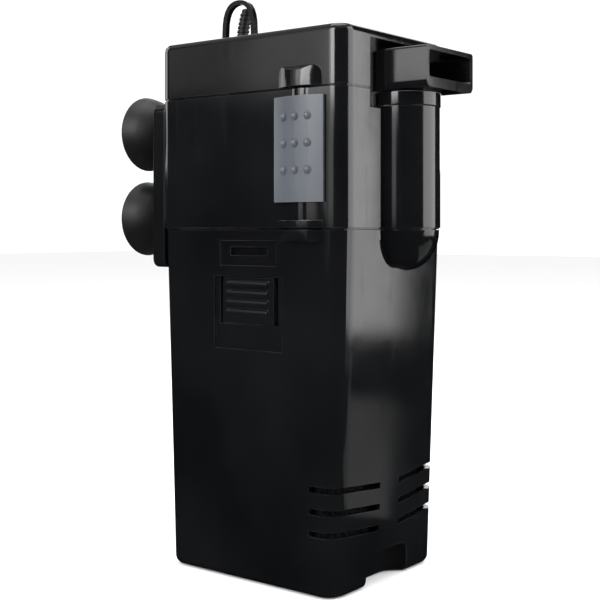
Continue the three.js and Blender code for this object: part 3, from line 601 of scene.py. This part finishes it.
def make_rings(node):
    """Ceramic filter rings, tipped into the basket in layers."""
    low, high = (Vector(corner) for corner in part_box(node))
    rng = random.Random(SEED)
    vertices, faces = [], []
    face_radius = RING_RADIUS * 0.94
    profile = [(RING_BORE, -0.5), (face_radius, -0.5), (RING_RADIUS, -0.44),
               (RING_RADIUS, 0.44), (face_radius, 0.5), (RING_BORE, 0.5)]
    step = [(high[i] - low[i]) / RING_COUNTS[i] for i in range(3)]
    for index in np.ndindex(*RING_COUNTS):
        centre = Vector(low[i] + (index[i] + 0.5) * step[i] for i in range(3))
        turn = Euler([rng.uniform(0, math.pi) for _ in range(3)]).to_matrix()
        long = RING_LENGTH * rng.uniform(0.88, 1.0)
        corner = math.hypot(RING_RADIUS, long / 2)
        for i in range(3):
            room = step[i] * RING_JITTER
            centre[i] += rng.uniform(-room, room)
            centre[i] = min(max(centre[i], low[i] + corner), high[i] - corner)

        def place(a, b, along):
            return centre + turn @ Vector((a, b, along * long))

        start = len(vertices)
        new_vertices, new_faces = turned([*profile, profile[0]], segments=14, place=place)
        vertices += new_vertices
        faces += [[i + start for i in face] for face in new_faces]
    mesh = mesh_of(node + "_rings", vertices, faces, degrees=50)
    return new_piece(node + "_rings", mesh)


CUP_FACE = 55.9
CUP_X = 24.7
CUP_Z = (166, 209)
LATCH_Y = -32.1
LATCH_WIDTH = 27.2
LATCH_RISE = 2.6
LATCH_BASE = 44.0
DOT_ROWS = (186.5, 198.2, 210)
DOT_PITCH = 6.5
DOT_RADIUS = 1.85
DOT_RISE = 1.6
DOT_SINK = 0.2
DOT_ROOT = 0.4

# Each node's edge rounding in millimetres, and its segments.
REFINE = {
    "canister": (0.4, 2),
    "pump_housing": (0.4, 2),
    "top_cover": (0.4, 2),
    "outlet_nozzle": (0.45, 3),
    "nozzle_collar": (0.35, 3),
    "hanging_loop": (0.9, 3),
    "left_slide_latch": (0.5, 3),
    "right_slide_latch": (0.5, 3),
    "left_release_tab": (0.3, 2),
    "right_release_tab": (0.3, 2),
    "mounting_plate": (0.5, 2),
    "stator_coil": (2.4, 4),
    "impeller": (0.25, 2),
}
REFINE_DEFAULT = (0.35, 2)
UNMERGED = ("basket_lid", "media_basket", "impeller_cover", "left_release_tab", "right_release_tab")
AFRESH = {"cord_gland": make_gland}
for row, z in enumerate(CUP_Z):
    for column, x in enumerate((-CUP_X, CUP_X)):
        node = f"suction_cup_{2 * row + column + 1}"
        AFRESH[node] = lambda node=node, x=x, z=z: make_cup(node, x, z)
for node in ("coarse_sponge", "fine_sponge", "carbon_pad"):
    AFRESH[node] = lambda node=node: make_foam(node)
AFRESH["ceramic_media"] = lambda: make_rings("ceramic_media")

for node in frame["nodes"]:
    if node in AFRESH:
        finish_piece(AFRESH[node](), node)
    else:
        finish_piece(refined(node, *REFINE.get(node, REFINE_DEFAULT)), node)
split_off("pump_housing", "discharge_tube", in_tube, TUBE_CUT_Y)
split_off("canister", "tube_foot", in_foot)
for node in ("outlet_nozzle", "nozzle_collar"):
    bpy.data.objects[node + "_fine"].visible_glossy = False
for side in ("left", "right"):
    finish_piece(make_dots(side), side + "_slide_latch")


# ---------- stage ----------

def area_light(name, place, target, size, power):
    data = bpy.data.lights.new(name, "AREA")
    data.shape = "RECTANGLE"
    data.size, data.size_y = size
    data.energy = power
    light = bpy.data.objects.new(name, data)
    bpy.context.scene.collection.objects.link(light)
    light.location = place
    light.rotation_euler = (Vector(target) - Vector(place)).to_track_quat("-Z", "Y").to_euler()
    return light


def card(name, azimuth, distance, sides, heights, radiance):
    """An upright softbox that faces the object. sides are its edges, to the right as it is seen."""
    angle = math.radians(azimuth)
    outward = Vector((math.cos(angle), math.sin(angle), 0))
    across = Vector((-outward.y, outward.x, 0))
    middle = outward * distance + across * (sum(sides) / 2)
    middle.z = sum(heights) / 2
    width, height = sides[1] - sides[0], heights[1] - heights[0]
    light = area_light(name, middle, middle - outward, (width, height), radiance * math.pi * width * height)
    light.visible_camera = False


def table_glow(corner, azimuth, reach, width, radiance):
    """Light that the bright table throws back, on a strip that starts at corner and runs outward."""
    angle = math.radians(azimuth)
    along = Vector((math.cos(angle), math.sin(angle), 0))
    across = Vector((math.sin(angle), -math.cos(angle), 0))
    place = Vector((*corner, 0.001)) + along * (sum(reach) / 2) + across * (width / 2)
    size = (reach[1] - reach[0], width)
    light = area_light("table_glow", place, place, size, radiance * math.pi * size[0] * size[1])
    light.rotation_euler = (math.pi, 0, angle)
    light.visible_camera = False


# name, azimuth in degrees, distance, sides and heights in metres, radiance
SOFTBOXES = (
    ("front_low_softbox", -62, 0.60, (-0.302, 0.287), (0.030, 0.148), 3.1),
    ("front_softbox", -62, 0.60, (-0.302, 0.254), (0.148, 0.85), 3.9),
    ("left_strip", 175, 1.0, (-0.225, 0.225), (0.33, 0.95), 10.0),
    ("left_softbox", 155, 1.0, (-0.12, 0.12), (0.335, 0.95), 3.7),
    ("left_low", 165, 1.0, (-0.28, 0.28), (0.17, 0.33), 1.3),
    ("back_left_panel", 144.5, 1.0, (-0.065, 0.065), (0.335, 0.9), 1.0),
    ("back_left_dim", 136, 1.0, (-0.09, 0.09), (0.335, 0.9), 0.4),
    ("right_softbox", 30, 1.2, (-0.45, 0.45), (0.25, 1.2), 1.8),
    ("back_softbox", 95, 1.2, (-0.35, 0.35), (0.25, 1.2), 2.0),
)
WORLD_STRENGTH = 1.18
FLOOR_HALF = 6
FLOOR_DROP = 0.0005


def make_floor():
    mesh = bpy.data.meshes.new("floor")
    bm = bmesh.new()
    bmesh.ops.create_grid(bm, x_segments=4, y_segments=4, size=FLOOR_HALF)
    bm.to_mesh(mesh)
    bm.free()
    floor = new_piece("floor", mesh)
    floor.location.z = -FLOOR_DROP
    n = Nodes("floor")
    n.set("Base Color", n.mix(n.noise(0.4, 2), (0.86, 0.86, 0.86), (0.89, 0.89, 0.89)))
    n.set("Roughness", 0.9)
    floor.data.materials.append(n.material)
    floor.visible_glossy = False


def make_lights():
    """White surroundings that gloss doesn't see, and the softboxes it does."""
    world = bpy.data.worlds.new("world")
    world.use_nodes = True
    background = world.node_tree.nodes["Background"]
    background.inputs["Color"].default_value = (1, 1, 1, 1)
    background.inputs["Strength"].default_value = WORLD_STRENGTH
    world.cycles_visibility.glossy = False
    bpy.context.scene.world = world
    for name, *values in SOFTBOXES:
        card(name, *values)
    area_light("top_softbox", (0.0, 0.1, 1.4), (0, 0, 0.2), (1.0, 1.0), 9)
    overhead = area_light("overhead_softbox", (0.0, 0.0, 1.5), (0, 0, 0.2), (3.0, 3.0), 12)
    overhead.visible_camera = False
    table_glow((0.007, -0.0546), -33, (0.084, 0.42), 0.2, 0.42)


CAMERA_PLACE = (-0.4386, -0.3426, 0.1605)
CAMERA_TURN = -51.9
SENSOR_WIDTH = 36
LENS = 68.785
SHIFT = -0.1175


def make_camera():
    """The photograph's view, level and from the front left. The shift frames the object."""
    bpy.context.scene.view_settings.view_transform = "Standard"
    data = bpy.data.cameras.new("camera")
    camera = bpy.data.objects.new("camera", data)
    bpy.context.scene.collection.objects.link(camera)
    data.sensor_width = SENSOR_WIDTH
    data.lens = LENS
    data.shift_y = SHIFT
    camera.location = CAMERA_PLACE
    camera.rotation_euler = (math.radians(90), 0, math.radians(CAMERA_TURN))
    bpy.context.scene.camera = camera


make_floor()
make_lights()
make_camera()
